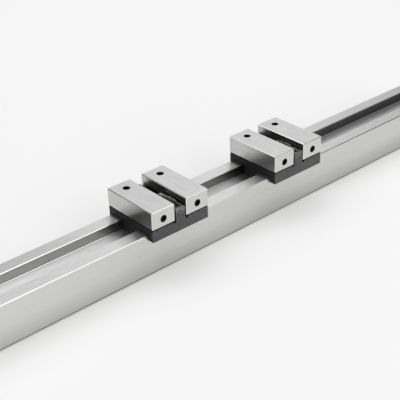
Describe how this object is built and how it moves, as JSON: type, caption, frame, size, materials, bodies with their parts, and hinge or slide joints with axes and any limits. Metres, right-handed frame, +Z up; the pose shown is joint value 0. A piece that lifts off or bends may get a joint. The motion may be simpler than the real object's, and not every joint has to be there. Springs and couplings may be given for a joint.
{
  "type": "linear guide rail",
  "caption": "Grooved ground-steel guide rail with short carriages sliding on it, each a dark polymer saddle carrying tapped steel blocks that take a load plate.",
  "frame": {"origin": "middle of the rail's underside", "axes": "+X along the rail, +Z up out of the groove, the blocks' tapped ends face -Y"},
  "size_m": [0.44, 0.0414, 0.0425],
  "materials": {
    "rail_steel": "fine ground along its length, satin",
    "block_steel": "fine ground, satin, crisp edges",
    "saddle_polymer": "satin moulded engineering polymer",
    "insert_polymer": "glossy moulded strip"
  },
  "bodies": {
    "rail": {"rail": "rail_steel"},
    "carriage_1": {"carriage_1_base": "saddle_polymer", "carriage_1_outer_block": "block_steel", "carriage_1_inner_block": "block_steel", "carriage_1_insert": "insert_polymer"},
    "carriage_2": {"carriage_2_base": "saddle_polymer", "carriage_2_outer_block": "block_steel", "carriage_2_inner_block": "block_steel", "carriage_2_insert": "insert_polymer"}
  },
  "joints": [
    {"name": "carriage_1_slide", "type": "slide", "parent": "rail", "child": "carriage_1", "axis": [1, 0, 0], "range_m": [-0.149, 0.0275]},
    {"name": "carriage_2_slide", "type": "slide", "parent": "rail", "child": "carriage_2", "axis": [1, 0, 0], "range_m": [-0.0275, 0.149]}
  ]
}
